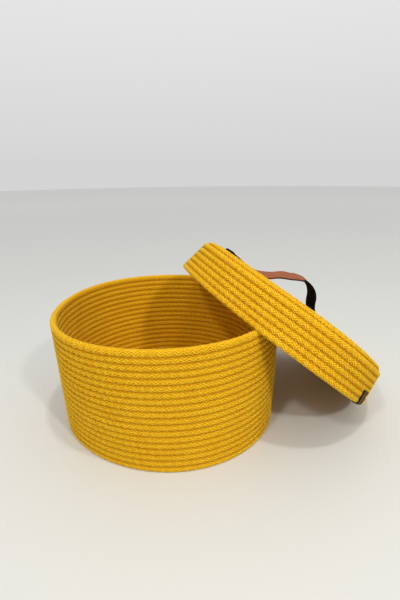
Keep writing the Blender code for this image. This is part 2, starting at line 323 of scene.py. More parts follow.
# %% Cotton rope, mustard yellow
def cotton(name, light, dark, yarns, depth):
    material = new_material(name, light, 0.9)
    tree, shader = material.node_tree, shader_of(material)
    node = tree.nodes.new("ShaderNodeGroup")
    node.node_tree = yarn_group
    node.inputs["Yarns"].default_value = yarns
    node.inputs["Depth"].default_value = depth
    # The light colour lies on the strands' crowns and is partly a painted highlight; the dark one is painted
    # shade on their flanks and bends.
    tree.links.new(mixed_colour(tree, node.outputs["Shade"], light, dark), shader.inputs["Base Color"])
    tree.links.new(node.outputs["Normal"], shader.inputs["Normal"])
    shader.inputs["Specular IOR Level"].default_value = 0.06
    shader.inputs["Sheen Weight"].default_value = 0.35
    shader.inputs["Sheen Roughness"].default_value = 0.28
    shader.inputs["Sheen Tint"].default_value = (1.0, 0.80, 0.20, 1)
    return material


rope_cotton = cotton("mustard cotton rope", (1.0, 0.705, 0.032), (0.72, 0.270, 0.0005),
                     YARNS_PER_STRAND, 0.12 * MM)
seam_thread = cotton("mustard sewing thread", (0.80, 0.41, 0.006), (0.60, 0.23, 0.001), 2.0, 0.05 * MM)
print("materials:", rope_cotton.name, "and", seam_thread.name)

# %% [markdown]
# Strips rolled into tubes
#
# Rope, thread, webbing and leather are all long and closed all round. A curve with a bevel would make such
# tubes too, but neither a relief along them nor this map. So each starts as one flat grid, made with
# create_grid: a row of faces along it for each column of the cross-section. The grid is rolled up round a
# path, and its long edges are welded. The UV map that comes with the grid is then stretched, so that X is
# millimetres along the piece.

# %% A path with a side and a face
class Path:
    """A centre line with a direction to the side and a face, for any length along it."""

    def __init__(self, place, side):
        gap_shade = np.linalg.norm(np.diff(place, axis=0), axis=1)
        self.length = np.concatenate([[0], np.cumsum(gap_shade)])
        tangent = np.gradient(place, axis=0)
        tangent /= np.linalg.norm(tangent, axis=1)[:, None]
        side = side - tangent * (side * tangent).sum(1)[:, None]
        side /= np.linalg.norm(side, axis=1)[:, None]
        self.place, self.side, self.face = place, side, np.cross(tangent, side)

    def at(self, along):
        def pick(values):
            return np.stack([np.interp(along, self.length, values[:, axis]) for axis in range(3)], -1)
        return pick(self.place), pick(self.side), pick(self.face)

    def total(self):
        return self.length[-1]


# %% Roll a strip round a path
WELD_DISTANCE = 0.001 * MM


def rolled_strip(rings, columns):
    """A flat grid with a UV map, and the ring and column of each of its vertices."""
    form = bmesh.new()
    form.loops.layers.uv.new("cloth")
    bmesh.ops.create_grid(form, x_segments=rings - 1, y_segments=columns, size=0.5, calc_uvs=True)
    flat = np.array([vertex.co for vertex in form.verts])
    ring = np.round((flat[:, 0] + 0.5) * (rings - 1)).astype(int)
    column = np.round((flat[:, 1] + 0.5) * columns).astype(int)
    return form, ring, column


def close_tube(form, column, columns, joined):
    """Welds the strip's long edges. Its ends get flat faces, or are welded to each other if joined."""
    rim = [vertex for vertex, place in zip(form.verts, column)
           if place in (0, columns) or joined and vertex.is_boundary]
    bmesh.ops.remove_doubles(form, verts=rim, dist=WELD_DISTANCE)
    for face in form.faces:
        face.smooth = True
    ends = [edge for edge in form.edges if edge.is_boundary]
    for edge in ends:
        edge.smooth = False
    if ends:
        bmesh.ops.holes_fill(form, edges=ends, sides=0)
    bmesh.ops.recalc_face_normals(form, faces=form.faces)


def map_uv(item, lengths, around):
    """Turns the grid's 0 to 1 map into a length for each ring and a place round each column."""
    layer = item.data.uv_layers["cloth"].data
    values = np.zeros(len(layer) * 2, np.float32)
    layer.foreach_get("uv", values)
    values = values.reshape(-1, 2)
    along = np.interp(values[:, 0] * (len(lengths) - 1), range(len(lengths)), lengths)
    across = np.interp(values[:, 1] * (len(around) - 1), range(len(around)), around)
    layer.foreach_set("uv", np.stack([along, across], -1).astype(np.float32).ravel())


def rolled_piece(name, path, lengths, around, section, material, marks=None, joined=False):
    """A closed piece rolled round a path. section gives how far across and out each vertex lies.

    The UV map shows the lengths, or the marks where the pattern isn't even along the piece."""
    columns = len(around) - 1
    form, ring, column = rolled_strip(len(lengths), columns)
    across, out = section(ring, column % columns)
    place, side, face = path.at(lengths[ring])
    points = place + side * across[:, None] + face * out[:, None]
    points[:, 2] = np.maximum(points[:, 2], 0)
    for vertex, point in zip(form.verts, points):
        vertex.co = point
    close_tube(form, column, columns, joined)
    item = mesh_object(name, form, material)
    map_uv(item, (lengths if marks is None else marks) / MM, around)
    return item


def triangle_count(item):
    return sum(len(face.vertices) - 2 for face in item.data.polygons)


# %% [markdown]
# A braided rope
#
# A braid has strands that run round the rope in zigzags, up for half a braid length and down for the
# next half. Each could be a tube of its own, woven over and under, but that takes far more faces than a
# rope of 36 m can have. Here each strand has four columns of the rolled strip, from its edge over its
# crown. The columns are slid in a zigzag and the crowns are raised, so each strand is a real ridge in the
# mesh. Every point is also moved by about a tenth of a millimetre, as if at random, for fuzzy cotton.
# Where two rows are sewn together they press each other flat, so the rope's section is a squarish round.

# %% Sizes of the rope
ROW_PITCH = 7.52 * MM
ROW_RADIUS = ROW_PITCH / 2
ROPE_RADIUS = 3.66 * MM
ZIGZAG = 1.70 * MM
ZIGZAG_CHANGE = 0.15
RING_STEP = BRAID_LENGTH / 4 * MM
COLUMNS = STRANDS * 4
strand_relief = np.array([-0.70, -0.10, 0.27, -0.10]) * MM
CONTACT = 3.85 * MM
FLATNESS = 0.94
GIRTH_CHANGE = 0.012
DRIFT = 0.35
STRETCH = 0.33 * BRAID_LENGTH * MM
FIRM_END = 60 * MM
PRESS_FROM, PRESS_SPAN = 0.80, 0.18
THIN_START, THIN_LENGTH = 0.30, 2.2 * ROW_PITCH
THIN_END, FLAT_END = 0.10, 0.40
wall_braid = {"fullness": 2.68, "dive": 0.0, "fuzz": 0.07 * MM}
lid_braid = {"fullness": 2.40, "dive": 0.22, "fuzz": 0.14 * MM}
print(f"{STRANDS} strands, {COLUMNS} columns, a ring every {RING_STEP / MM:.2f} mm")


# %% The braid's section
def ease(share):
    """Goes from 0 to 1 with a soft start and a soft end, and stays there."""
    share = np.clip(share, 0.0, 1.0)
    return share * share * (3 - 2 * share)


def slow_wave(length, seed, spans=(0.31, 0.19, 0.083)):
    """A smooth wandering number between -1 and 1 along a rope, the same at every run."""
    parts = [np.sin(2 * pi * length / span + seed * (2.1 + index)) for index, span in enumerate(spans)]
    return sum(parts) / len(spans)


def tangle(along, column):
    """A number between -1 and 1 that looks random from one place on the rope to the next.

    It is the end of a large sine's digits. Its three numbers are any that don't fit each other."""
    place = np.sin(along / MM * 12.9898 + column * 78.233) * 437.5453
    return 2 * (place - np.floor(place)) - 1


def squared(value, fullness):
    """The sine or cosine of a rounded square instead of a circle."""
    return np.sign(value) * np.abs(value) ** (2 / fullness)


def stretch(along, total, seed):
    """How far the braid is pulled along the rope there. It is nothing at the rope's two ends."""
    held = ease(along / FIRM_END) * ease((total - along) / FIRM_END)
    return STRETCH * slow_wave(along, seed + 2.9, (0.41, 0.23, 0.13)) * held


def braid_section(along, column, seed, fullness, dive, fuzz):
    """How far across and out each point of the braid lies, at a length along the rope.

    Fullness squares the round, and dive is how deep a strand goes where it passes under the next."""
    phase = (along / (BRAID_LENGTH * MM)) % 1.0
    change = 1 + ZIGZAG_CHANGE * slow_wave(along, seed + 0.6, (0.047, 0.031))
    zigzag = ZIGZAG * (1 - 4 * np.abs(phase - 0.5)) * change
    drift = DRIFT * slow_wave(along, seed + 1.7, (0.9, 0.37))
    crown = 1 - dive - dive * np.cos(4 * pi * phase)
    angle = 2 * pi * column / COLUMNS + zigzag / ROPE_RADIUS + drift
    radius = ROPE_RADIUS * (1 + GIRTH_CHANGE * slow_wave(along, seed)) + strand_relief[column % 4] * crown
    radius = radius + fuzz * tangle(along, column)
    across = radius * squared(np.sin(angle), fullness)
    out = radius * squared(np.cos(angle), fullness) * FLATNESS
    press = ease((np.abs(np.sin(angle)) - PRESS_FROM) / PRESS_SPAN)
    return across + (np.sign(across) * CONTACT - across) * press, out


# %% A rope along a path
def whole_rings(length):
    return int(length / RING_STEP) * RING_STEP


def rope_piece(name, path, start, end, seed, braid, middle, tail):
    """One closed piece of braided rope between two lengths along a wound path.

    It starts thin in the middle of a flat spiral, or thins at its tail: a length and how it thins."""
    marks = start + np.arange(int(round((end - start) / RING_STEP)) + 1) * RING_STEP
    fit = path.total() / whole_rings(path.total())
    lengths = (marks + stretch(marks, path.total(), seed)) * fit

    def section(ring, column):
        along = marks[ring]
        across, out = braid_section(along, column, seed, **braid)
        if middle:
            share = np.clip((along - start) / THIN_LENGTH, 0, 1)
            share = THIN_START + (1 - THIN_START) * np.sqrt(share * (2 - share))
            across, out = across * share, out * share
        if tail:
            length, moved = tail
            share = np.maximum(1 - moved(ease(1 - (end - along) / length)), THIN_END)
            across, out = across * share, out * (FLAT_END + (1 - FLAT_END) * np.sqrt(share))
        return across, out

    around = np.linspace(0, STRANDS, COLUMNS + 1)
    return rolled_piece(name, path, lengths, around, section, rope_cotton, marks)


# %% [markdown]
# How the ropes are wound
#
# A stack of rings would look nearly the same, but a sewn basket is one rope from the middle of its floor
# to its rim, and the climb of its rows shows. A row stays level for most of its turn, and then climbs to
# the next beside the row below, which climbs there too. The flat bottom and the lid's top are spirals:
# near their middle the rope moves outwards all the way round, and only the outer rows have one place
# where they step. The last turn of a spiral runs round the corner into the side's first row. The rope
# starts thin in the middle, and at the rim it thins out beside its last climb, so no end stands out.

# %% A path through rows
TURN_SAMPLES = 720
MIDDLE_HOLE = 0.9 * MM


def step(lean, side):
    """From one row to the next: outwards by the lean, and up (1) or down (-1)."""
    lean = np.radians(lean)
    return np.stack([np.sin(lean), side * np.cos(lean)], -1) * ROW_PITCH


def carried(points, matrix):
    return points @ np.array(matrix.to_3x3()).T + np.array(matrix.translation)


def wound_path(azimuth, radius, height, lean, side, shape, matrix):
    """The centre line of a wound rope, with its side towards the next row, seen a tenth of a row on."""
    outwards, upwards = step(lean, side).T * 0.1
    here = carried(shape(azimuth, radius, height), matrix)
    beyond = carried(shape(azimuth, radius + outwards, height + upwards), matrix)
    return Path(here, beyond - here)


# %% Rows of the basket and of the lid
WALL_ROWS = 19
RIM_RADIUS = 140.0 * MM
FOOT_RADIUS = 134.7 * MM
WALL_LEAN = degrees(np.arcsin((RIM_RADIUS - FOOT_RADIUS) / ((WALL_ROWS - 1) * ROW_PITCH)))
WALL_RISE = (0.0, 50.0)
BOTTOM_TURNS = 17
LID_EDGE_RADIUS = 147.5 * MM
LID_SIDE_LEAN = 7.0
lid_leans = [80.0, 45.0] + [LID_SIDE_LEAN] * 5
LID_RISE = (30.0, 60.0)
LID_TOP_TURNS = 16
LID_LEAN = 38.2
upright = Matrix.Identity(4)
lid_centre = (140.823 * MM, 0, 89.695 * MM)
lid_matrix = Matrix.Translation(lid_centre) @ Matrix.Rotation(radians(LID_LEAN), 4, "Y")
lid_edge_row = np.array([LID_EDGE_RADIUS - ROW_RADIUS, ROW_RADIUS])
lid_top_row = lid_edge_row - sum(step(lean, -1) for lean in lid_leans)
wall_first_row = np.array([FOOT_RADIUS - ROW_RADIUS, ROW_RADIUS])
print("lid's top row", lid_top_row / MM, "wall's first row", wall_first_row / MM)


def shifted(share):
    """How far the lid's rows have moved, on its top and on its side alike."""
    return share


def climbed(share):
    """How far a wall's row has climbed, while the flat row under it moves out round the same corner."""
    return np.sin(pi / 2 * share)


def spread(share):
    """How far that flat row has moved out. It stays one row's pitch away from the row that climbs."""
    return 1 - np.cos(pi / 2 * share)


def climbing_turns(first_row, leans, side, rise, moved):
    """Azimuth, radius, height and lean along the turns that climb from the first row."""
    start, span = rise
    angle = np.arange(TURN_SAMPLES) * 360 / TURN_SAMPLES
    share = moved(ease(angle / span))
    rows = [np.zeros((len(angle), 2)) + first_row, first_row + share[:, None] * step(leans[0], side)]
    leaning = [np.full(len(angle), leans[0]), np.full(len(angle), leans[0])]
    for before, after in zip(leans, leans[1:]):
        lean = before + (after - before) * share
        rows.append(rows[-1] + step(lean, side))
        leaning.append(lean)
    climb = int(span * TURN_SAMPLES / 360)
    tail = rows[-1] + step(lean, side) * (1 - share[:, None] / 2)
    rows = np.concatenate([*rows, tail[:climb]])
    leaning = np.concatenate([*leaning, lean[:climb]])
    azimuth = radians(start) + np.radians(np.arange(len(rows)) * 360 / TURN_SAMPLES)
    return azimuth[climb:], rows[climb:, 0], rows[climb:, 1], leaning[climb:]


def tail_length(path, rise):
    """How long the thin end of the rope is, which lies beside the last climb."""
    return path.total() - path.length[-1 - int(rise[1] * TURN_SAMPLES / 360)]


def flat_spiral(first_row, first_lean, rise, turns, moved):
    """Azimuth, radius, height and lean of a flat spiral that ends where the first row of the side starts."""
    start, span = rise
    angle = np.arange(turns * TURN_SAMPLES + int(span * TURN_SAMPLES / 360) + 1) * 360 / TURN_SAMPLES
    turn, angle_in_turn = angle // 360, angle % 360
    roundness = ease(turn / (turns - 1))
    share = angle_in_turn / 360 * (1 - roundness) + moved(ease(angle_in_turn / span)) * roundness
    radius = first_row[0] - (turns + 1 - turn - share) * ROW_PITCH
    lean = 90 + (first_lean - 90) * ease((angle - turns * 360) / span)
    keep = radius > MIDDLE_HOLE
    azimuth = radians(start) + np.radians(angle)
    return azimuth[keep], radius[keep], np.full(keep.sum(), first_row[1]), lean[keep]


# %% [markdown]
# Out of round
#
# Sewn rope is never a perfect circle. Its rows are pulled out of round by a millimetre or three, and the
# photo's outlines say where. Noise would be quicker, but it would bulge in other places. So each pull is
# a wave round the circle: one crest shifts a row to a side, two make it an oval, and three or four give
# it soft corners.

# %% The basket's shape
def waves(azimuth, sizes):
    """Waves round a circle: each one's number of crests, height in millimetres and a crest's azimuth."""
    return sum(size * MM * np.cos(crests * (azimuth - radians(crest))) for crests, size, crest in sizes)


rim_waves = [(1, 1.5, 137), (2, 1.1, 57), (3, 1.1, -15), (4, 1.3, 28)]
foot_waves = [(1, 1.5, -120), (2, 2.2, -63), (3, 0.8, -58), (4, 0.6, -2)]
belly_waves = [(0, 0.8, 0), (1, 0.5, -11), (2, 0.3, -49)]


def wall_shape(azimuth, radius, height):
    share = np.clip((height - ROW_RADIUS) / ((WALL_ROWS - 1) * ROW_PITCH), 0, 1)
    inner = np.clip(radius / wall_first_row[0], 0, 1)
    pull = waves(azimuth, rim_waves) * share + waves(azimuth, foot_waves) * (1 - share)
    pull = pull + waves(azimuth, belly_waves) * np.sin(pi * share)
    radius = radius + pull * inner
    return np.stack([radius * np.cos(azimuth), radius * np.sin(azimuth), height], -1)


# %% The lid's shape
edge_waves = [(1, 2.0, -47), (2, 2.8, -56), (3, 2.9, 24), (4, 1.2, -7)]
top_waves = [(1, 1.4, -73), (2, 1.8, -86), (3, 1.7, 32), (4, 1.5, 5)]
height_waves = [(2, 1.0, 30), (3, 0.9, 12), (4, 0.6, 1)]


def lid_shape(azimuth, radius, height):
    share = (height - lid_edge_row[1]) / (lid_top_row[1] - lid_edge_row[1])
    inner = np.clip(radius / lid_top_row[0], 0, 1)
    radius = radius + (waves(azimuth, edge_waves) * (1 - share) + waves(azimuth, top_waves) * share) * inner
    height = height + waves(azimuth, height_waves) * inner ** 2
    return np.stack([radius * np.cos(azimuth), radius * np.sin(azimuth), height], -1)


# %% Wind the basket
def rope_pieces(prefix, path, count, seed, braid, middle, tail, body, node):
    """Cuts a long rope into pieces of under 200,000 triangles, which meet ring to ring."""
    total = whole_rings(path.total())
    cuts = [round(index * total / count / RING_STEP / 4) * 4 * RING_STEP for index in range(1, count)]
    spots = [0.0, *cuts, total]
    for index, (start, end) in enumerate(zip(spots, spots[1:])):
        first, last = middle and index == 0, tail if index == count - 1 else None
        piece = rope_piece(f"{prefix}_{index + 1}", path, start, end, seed, braid, first, last)
        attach(piece, body)
    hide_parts(node)


wall_rows = climbing_turns(wall_first_row, [WALL_LEAN] * (WALL_ROWS - 1), 1, WALL_RISE, climbed)
wall_path = wound_path(*wall_rows, 1, wall_shape, upright)
base_rows = flat_spiral(wall_first_row, WALL_LEAN, WALL_RISE, BOTTOM_TURNS, spread)
base_path = wound_path(*base_rows, 1, wall_shape, upright)
wall_tail = (tail_length(wall_path, WALL_RISE), climbed)
rope_pieces("wall_rope", wall_path, 4, 0.4, wall_braid, False, wall_tail, "basket", "basket_wall")
rope_pieces("bottom_rope", base_path, 2, 1.9, wall_braid, True, None, "basket", "basket_base")

# %% Wind the lid
lid_side_rows = climbing_turns(lid_top_row, lid_leans, -1, LID_RISE, shifted)
lid_side_path = wound_path(*lid_side_rows, -1, lid_shape, lid_matrix)
lid_top_rows = flat_spiral(lid_top_row, lid_leans[0], LID_RISE, LID_TOP_TURNS, shifted)
lid_top_path = wound_path(*lid_top_rows, -1, lid_shape, lid_matrix)
rim_row, edge_row = wall_path.place[-TURN_SAMPLES:], lid_side_path.place[-TURN_SAMPLES:]
for side, word in ((-1, "near"), (1, "far")):
    spots = edge_row[edge_row[:, 1] * side > 0]
    apart = min(np.linalg.norm(rim_row - spot, axis=1).min() for spot in spots)
    print(word, f"crossing: centre lines {apart / MM:.2f} mm apart")
print(f"the lid's lowest centre line is {edge_row[:, 2].min() / MM:.2f} mm up")
lid_tail = (tail_length(lid_side_path, LID_RISE), shifted)
rope_pieces("lid_side_rope", lid_side_path, 2, 3.3, lid_braid, False, lid_tail, "lid", "lid_wall")
rope_pieces("lid_top_rope", lid_top_path, 2, 5.2, lid_braid, True, None, "lid", "lid_top")

# %% [markdown]
# The sewing
#
# A zigzag machine stitch joins each row to the next. Its thread shows in the groove as short slanting
# bars, which break up the dark line between two rows. The bars could be separate copies of one stitch,
# but a seam is one thread. So it is one thin tube whose rings swing from side to side, with four columns
# only, because there are thousands of stitches. It lies on both faces.

# %% Zigzag thread in the grooves
STITCH_STEP = 2.1 * MM
STITCH_SWING = 1.35 * MM
SWING_CHANGE = 0.12
STITCH_DEPTH = 3.02 * MM
THREAD_RADIUS = 0.24 * MM
slant = float(np.hypot(STITCH_STEP, 2 * STITCH_SWING) / STITCH_STEP)


def groove_path(path, has_next):
    """The middle of the groove between each row and the next one."""
    here, beyond = path.place[:-TURN_SAMPLES], path.place[TURN_SAMPLES:]
    if has_next:
        here = path.place
        beyond = np.concatenate([beyond, (path.place + path.side * ROW_PITCH)[-TURN_SAMPLES:]])
    return Path((here + beyond) / 2, beyond - here)


def sewing(name, groove, face, body, seed):
    """A zigzag thread along a groove, on its outer face (1) or inner face (-1)."""
    lengths = np.arange(1, int(groove.total() / STITCH_STEP)) * STITCH_STEP

    def section(ring, column):
        change = 1 + SWING_CHANGE * np.sin(ring * 2.3 + seed)
        swing = np.where(ring % 2 == 0, 1, -1) * STITCH_SWING * change
        across = swing + slant * THREAD_RADIUS * np.cos(pi / 2 * column)
        return across, face * (STITCH_DEPTH + THREAD_RADIUS * np.sin(pi / 2 * column))

    piece = rolled_piece(name, groove, lengths, np.linspace(0, 1, 5), section, seam_thread)
    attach(piece, body)
    return piece


stitched = []
seams = (("wall", wall_path, False, "basket"), ("bottom", base_path, True, "basket"),
         ("lid_side", lid_side_path, False, "lid"), ("lid_top", lid_top_path, True, "lid"))
for place, path, has_next, body in seams:
    groove = groove_path(path, has_next)
    for face, word in ((1, "outer"), (-1, "inner")):
        stitched.append(sewing(f"{place}_sewing_{word}", groove, face, body, len(stitched)))
print({piece.name: triangle_count(piece) for piece in stitched})

# %% [markdown]
# Webbing, leather and a woven ribbon
#
# The strap is black herringbone webbing, and the grip on it is a sleeve of brown leather, with painted shade
# that darkens its two narrow sides nearly to black. The label is a woven ribbon with plain dark edges. On
# both woven bands the gaps between the yarns are painted darker, as painted shade. The yarns could be
# modelled one by one, but at this size a bump gives the same glint. The weave and the edges follow the UV
# map, whose X runs along the band and whose Y runs round it from one edge, in millimetres.

# %% A shader group for woven bands
def make_weave_group():
    """Zigzag ribs across a band. Width is half the way round it, and Border the share that is edge."""
    group, source, sink = new_group("woven band", {"Rib": 1.3, "Chevron": 3.2, "Width": 25.0, "Border": 0.1},
                                    {"Height": "NodeSocketFloat", "Edge": "NodeSocketFloat"})
    uv = group.nodes.new("ShaderNodeUVMap")
    split = group.nodes.new("ShaderNodeSeparateXYZ")
    group.links.new(uv.outputs["UV"], split.inputs["Vector"])
    rib, width = source.outputs["Rib"], source.outputs["Width"]
    bent = math_node(group, "PINGPONG", split.outputs["Y"], source.outputs["Chevron"])
    slope = math_node(group, "ADD", split.outputs["X"], math_node(group, "MULTIPLY", bent, 0.8))
    turns = math_node(group, "MULTIPLY", math_node(group, "DIVIDE", slope, rib), pi)
    yarn = math_node(group, "ABSOLUTE", math_node(group, "SINE", turns))
    across = math_node(group, "MULTIPLY", math_node(group, "DIVIDE", split.outputs["Y"], rib), pi)
    warp = math_node(group, "ABSOLUTE", math_node(group, "SINE", across))
    height = math_node(group, "MULTIPLY_ADD", warp, 0.4, yarn)
    group.links.new(height, sink.inputs["Height"])
    place = math_node(group, "DIVIDE", split.outputs["Y"], width)
    inset = math_node(group, "PINGPONG", place, 0.5)
    group.links.new(math_node(group, "LESS_THAN", inset, source.outputs["Border"]), sink.inputs["Edge"])
    return group


weave_group = make_weave_group()
print("shader group:", weave_group.name, "with", len(weave_group.nodes), "nodes")


# %% Webbing and ribbon
def woven(name, light, dark, edge, width, border, rib, chevron, depth):
    """A woven band: light yarns, painted shade in the low gaps between them, and edges of their own colour.
    """
    material = new_material(name, light, 0.9)
    tree, shader = material.node_tree, shader_of(material)
    node = tree.nodes.new("ShaderNodeGroup")
    node.node_tree = weave_group
    node.inputs["Width"].default_value = width
    node.inputs["Border"].default_value = border
    node.inputs["Rib"].default_value = rib
    node.inputs["Chevron"].default_value = chevron
    # Painted shade: the colour darkens where the weave is low, in the gaps between the yarns.
    gap_shade = math_node(tree, "SUBTRACT", 1.0, math_node(tree, "MULTIPLY", node.outputs["Height"], 0.75))
    inside = mixed_colour(tree, gap_shade, light, dark)
    whole = mixed_colour(tree, node.outputs["Edge"], light, edge)
    tree.links.new(inside, whole.node.inputs["A"])
    tree.links.new(whole, shader.inputs["Base Color"])
    tree.links.new(bump_node(tree, node.outputs["Height"], depth), shader.inputs["Normal"])
    shader.inputs["Specular IOR Level"].default_value = 0.04
    return material


STRAP_WIDTH, STRAP_THICKNESS = 25.0 * MM, 1.5 * MM
LABEL_WIDTH, LABEL_THICKNESS = 14.0 * MM, 0.9 * MM
black_webbing = woven("black webbing", (0.0075, 0.0095, 0.0085), (0.0020, 0.0026, 0.0023),
                      (0.0055, 0.0070, 0.0062), (STRAP_WIDTH + STRAP_THICKNESS) / MM,
                      border=0.08, rib=1.1, chevron=3.1, depth=0.18 * MM)
label_ribbon = woven("woven label ribbon", (0.150, 0.100, 0.050), (0.040, 0.026, 0.013),
                     (0.006, 0.005, 0.004), (LABEL_WIDTH + LABEL_THICKNESS) / MM,
                     border=0.17, rib=0.55, chevron=7.0, depth=0.06 * MM)
black_thread = new_material("black sewing thread", (0.010, 0.010, 0.010), 0.6)
print("materials:", [material.name for material in (black_webbing, label_ribbon, black_thread)])


# %% Brown leather
GRIP_WIDTH, GRIP_DEPTH = 27.8 * MM, 4.3 * MM


def brown_leather():
    material = new_material("brown leather", (0.36, 0.105, 0.042), 0.62)
    tree, shader = material.node_tree, shader_of(material)
    place = tree.nodes.new("ShaderNodeTexCoord").outputs["Object"]
    grain = tree.nodes.new("ShaderNodeTexVoronoi")
    grain.inputs["Scale"].default_value = 1500.0
    tree.links.new(place, grain.inputs["Vector"])
    cloud = noise_node(tree, place, 90.0, 4.0)
    edges = tree.nodes.new("ShaderNodeGroup")
    edges.node_tree = weave_group
    edges.inputs["Width"].default_value = (GRIP_WIDTH + GRIP_DEPTH) / MM
    edges.inputs["Border"].default_value = 0.075
    tone = mixed_colour(tree, cloud, (0.385, 0.118, 0.046), (0.28, 0.080, 0.031))
    # Painted shade: the sleeve's two narrow sides are darkened nearly to black, as shade where they turn from
    # the light.
    edge_shade = mixed_colour(tree, edges.outputs["Edge"], (1, 1, 1), (0.022, 0.012, 0.010))
    tree.links.new(tone, edge_shade.node.inputs["A"])
    tree.links.new(edge_shade, shader.inputs["Base Color"])
    height = math_node(tree, "MULTIPLY_ADD", cloud, 2.0, grain.outputs["Distance"])
    tree.links.new(bump_node(tree, height, 0.12 * MM), shader.inputs["Normal"])
    shader.inputs["Specular IOR Level"].default_value = 0.20
    return material


leather = brown_leather()
print("material:", leather.name)

# %% [markdown]
# The strap and its grip
#
# The strap stands up from the lid in a loop that has slumped downhill, so it rises slowly to the grip
# and drops steeply beyond it. A cloth simulation would find a loop of its own, while this one has to lie
# as the photo shows it. So its line is a list of places down the slope, to the side and up, with a twist
# in degrees, through which a smooth curve is drawn. The upper run's foot is sewn to the lid, while its
# other end is lifted with the grip.

# %% The strap's line
GRIP_START = 34.0 * MM
GRIP_END = 116.0 * MM
GAP = 0.3 * MM
strap_middle = (172.494 * MM, 18 * MM, 129.941 * MM)
strap_matrix = Matrix.Translation(strap_middle) @ Matrix.Rotation(radians(LID_LEAN), 4, "Y")
strap_places = [(-99.0, 0, 2.4, 0), (-88.4, 0, 1.5, 0), (-76.4, 0, 1.2, 0), (-65.2, -0.2, 1.4, -2),
                (-51.3, -0.5, 3.9, 5), (-35.3, -0.3, 13.9, 0), (-21.1, 0.7, 22.5, 7), (-8.0, 1.4, 28.7, 4),
                (1.6, 4.3, 32.5, 5), (9.4, 0.8, 33.7, 2), (22.3, 0.1, 30.6, 1), (31.7, 0, 23.3, -1),
                (37.6, 0.3, 14.4, -1), (44.4, 0, 6.9, -1), (52.0, 0, 2.85, 0)]


def smooth_curve(places, samples):
    """A Catmull-Rom curve through the places, each with any number of values."""
    places = np.array(places, float)
    ends = 2 * places[[0, -1]] - places[[1, -2]]
    places = np.vstack([ends[:1], places, ends[1:]])
    share = np.linspace(0, 1, samples, endpoint=False)[:, None]
    parts = []
    for before, here, after, beyond in zip(places, places[1:], places[2:], places[3:]):
        bend = (2 * before - 5 * here + 4 * after - beyond) * share ** 2
        bend += (3 * here - before - 3 * after + beyond) * share ** 3
        parts.append(here + 0.5 * ((after - before) * share + bend))
    return np.vstack([*parts, places[-2:-1]])


def strap_path(places):
    """A path in the strap's own frame on the lid, from places in millimetres and twists in degrees."""
    line = smooth_curve(places, 12)
    points = carried(line[:, :3] * MM, strap_matrix)
    level = np.zeros_like(points) + (0, 1, 0)
    plain = Path(points, level)
    twist = np.radians(line[:, 3:])
    return Path(points, plain.side * np.cos(twist) + plain.face * np.sin(twist))


# %% Bands round a path
def band_columns(width, thickness, columns=24, fullness=6.0):
    """Across and out for each column of a flat band's rounded section, and the lengths round it."""
    angle = 2 * pi * np.arange(columns) / columns
    across = squared(np.cos(angle), fullness) * width / 2
    out = squared(np.sin(angle), fullness) * thickness / 2
    gap_shade = np.hypot(np.roll(across, -1) - across, np.roll(out, -1) - out)
    return across, out, np.concatenate([[0], np.cumsum(gap_shade)])


def band_piece(name, path, start, end, width, thickness, material, ring_step=1.0 * MM):
    """A solid band, such as webbing or ribbon, between two lengths along a path."""
    across, out, around = band_columns(width, thickness)
    lengths = np.linspace(start, end, max(2, int(round((end - start) / ring_step)) + 1))

    def section(ring, column):
        return across[column], out[column]

    return rolled_piece(name, path, lengths, around / MM, section, material)


# %% Three runs of webbing
strap = {"width": STRAP_WIDTH, "thickness": STRAP_THICKNESS, "material": black_webbing}
loop = strap_path(strap_places)
upper_run = band_piece("webbing_upper", loop, 0.0, GRIP_START - 0.1 * GAP, **strap)
middle_run = band_piece("webbing_in_grip", loop, GRIP_START, GRIP_END, **strap)
lower_run = band_piece("webbing_lower", loop, GRIP_END + 0.1 * GAP, loop.total(), **strap)
print(f"strap {loop.total() / MM:.1f} mm between its sewn ends")

# %% [markdown]
# The sewn ends
#
# Webbing frays where it is cut, so each end is folded under itself before it is sewn down. A box would do
# from afar, but the fold shows from the side. So each end is a band too, whose path goes out, round a
# fold that swells and back beneath.

# %% The folded ends
TAB_LENGTH = 13.0 * MM
FOLD_SWELL = 1.2 * MM


def tab_piece(name, inner, side, height):
    """The strap's end, folded under itself: from its inner end out, round a fold that swells, and back."""
    drop = (STRAP_THICKNESS + GAP) / MM
    swell = (drop + FOLD_SWELL / MM) / 2
    reach = side * (TAB_LENGTH / MM - STRAP_THICKNESS / MM / 2 - swell)
    fold = [(inner + reach + side * swell * sin(turn), 0, height - drop + swell + swell * cos(turn), 0)
            for turn in (0, pi / 4, pi / 2, 3 * pi / 4, pi)]
    places = [(inner, 0, height, 0), (inner + reach / 2, 0, height, 0), *fold,
              (inner + reach / 2, 0, height - drop, 0), (inner, 0, height - drop, 0)]
    path = strap_path(places)
    return band_piece(name, path, 0.0, path.total(), ring_step=0.5 * MM, **strap)


upper_tab = tab_piece("webbing_tab_upper", strap_places[0][0], -1, strap_places[0][2])
lower_tab = tab_piece("webbing_tab_lower", strap_places[-1][0], 1, strap_places[-1][2])
print("sewn ends:", triangle_count(upper_tab), "and", triangle_count(lower_tab), "triangles")

# %% [markdown]
# The grip
#
# A strip of leather is wrapped round the webbing and sewn shut beneath, where a hand doesn't feel the
# seam. A thicker band over the webbing would look the same from the side, but a sleeve is open at both
# ends, and there one sees that it is thin. So its strip goes along the outside and back along the bore.

# %% The leather sleeve
EDGE_ROUNDING = 0.7 * MM
EDGE_THICKNESS = 0.62


